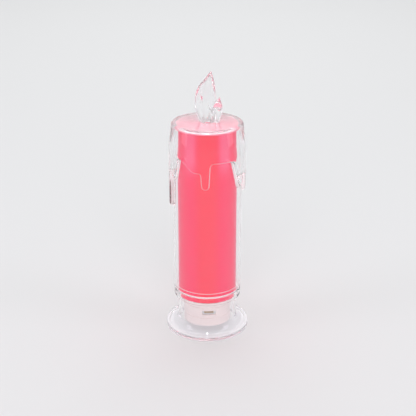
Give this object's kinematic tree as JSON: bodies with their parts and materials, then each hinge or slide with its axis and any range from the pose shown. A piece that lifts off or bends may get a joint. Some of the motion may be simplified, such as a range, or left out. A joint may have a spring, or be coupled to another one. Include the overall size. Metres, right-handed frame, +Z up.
{
  "type": "flameless led candle",
  "caption": "Clear taper-style LED candle with wax-drip relief and a moulded flame, pink inner tube, round foot, battery tray, switch and battery door.",
  "frame": {"origin": "centre of the foot's underside, on the surface that the candle stands on", "axes": "+Z up along the candle's axis; the front, where the side tongue of the flame is on the right, faces -Y"},
  "size_m": [0.055, 0.055, 0.172],
  "materials": {
    "clear_base": "clear, polished",
    "clear_shell": "clear, polished",
    "clear_flame": "clear, polished",
    "pink_sleeve": "satin",
    "pink_cap": "satin",
    "lamp_lens": "clear",
    "tinned_steel": "bright",
    "white_plastic": "satin",
    "tray_plastic": "satin",
    "shrink_sleeving": "satin",
    "red_wire": "satin",
    "black_wire": "satin",
    "screw_steel": "zinc plated",
    "plated_contact": "nickel plated",
    "board_laminate": "satin",
    "resistor_body": "lacquered",
    "switch_steel": "nickel plated",
    "switch_laminate": "satin",
    "black_plastic": "satin",
    "tan_plastic": "satin",
    "cell_steel": "polished"
  },
  "bodies": {
    "candle": {"foot_base": "clear_base", "outer_shell": "clear_shell", "flame": "clear_flame", "color_sleeve": "pink_sleeve", "sleeve_cap": "pink_cap", "led": "lamp_lens", "led_leads": "tinned_steel", "led_holder": "white_plastic", "lead_sleeving": "shrink_sleeving", "wire_positive": "red_wire", "wire_negative": "black_wire", "jumper_wire": "black_wire", "battery_housing": "tray_plastic", "housing_cover": "white_plastic", "cover_screws": "screw_steel", "contact_positive": "plated_contact", "contact_negative": "plated_contact", "circuit_board": "board_laminate", "resistor": "resistor_body", "switch_shell": "switch_steel", "switch_base": "switch_laminate", "switch_terminals": "tinned_steel", "button_cell_1": "cell_steel", "button_cell_2": "cell_steel", "button_cell_3": "cell_steel"},
    "switch": {"switch_button": "tan_plastic", "switch_lever": "black_plastic"},
    "door": {"battery_door": "tray_plastic"},
    "door_screw": {"door_screw": "screw_steel"}
  },
  "joints": [
    {"name": "switch_slide", "type": "slide", "parent": "candle", "child": "switch", "axis": [1, 0, 0], "range_m": [-0.002, 0]},
    {"name": "battery_door_pull", "type": "slide", "parent": "candle", "child": "door", "axis": [0, 0, -1], "range_m": [0, 0.012]},
    {"name": "door_screw_turn", "type": "hinge", "parent": "door", "child": "door_screw", "pos_m": [0.0106, 0.003, 0.0164], "axis": [0, 0, -1], "continuous": true}
  ]
}
